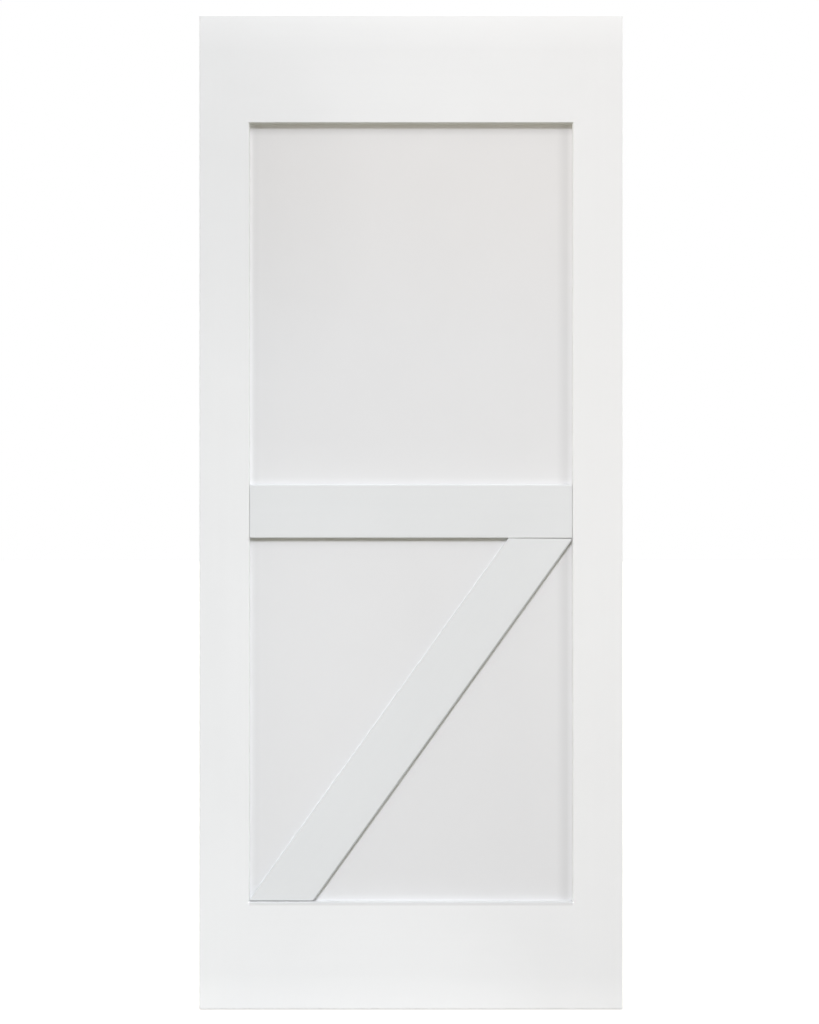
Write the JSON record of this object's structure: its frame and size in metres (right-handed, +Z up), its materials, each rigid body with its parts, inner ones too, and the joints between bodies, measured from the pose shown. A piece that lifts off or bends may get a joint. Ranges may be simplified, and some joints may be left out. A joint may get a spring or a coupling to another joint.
{
  "type": "interior barn door slab",
  "caption": "White painted interior barn door slab: a stile-and-rail frame round a flat recessed panel, with a level cross bar and a diagonal brace planted on both faces.",
  "frame": {"origin": "middle of the slab's bottom edge, halfway through its thickness", "axes": "+Z up, +X to the right of someone who faces the front, front face towards -Y"},
  "size_m": [0.908, 0.035, 2.134],
  "materials": {
    "frame_paint": "satin white paint",
    "board_paint": "satin white paint",
    "panel_paint": "satin white paint",
    "dowel_wood": "bare beech"
  },
  "bodies": {
    "root": {"left_stile": "frame_paint", "right_stile": "frame_paint", "top_rail": "frame_paint", "bottom_rail": "frame_paint", "panel": "panel_paint", "front_cross_bar": "board_paint", "front_brace": "board_paint", "back_cross_bar": "board_paint", "back_brace": "board_paint", "top_left_dowels": "dowel_wood", "top_right_dowels": "dowel_wood", "bottom_left_dowels": "dowel_wood", "bottom_right_dowels": "dowel_wood"}
  },
  "joints": []
}
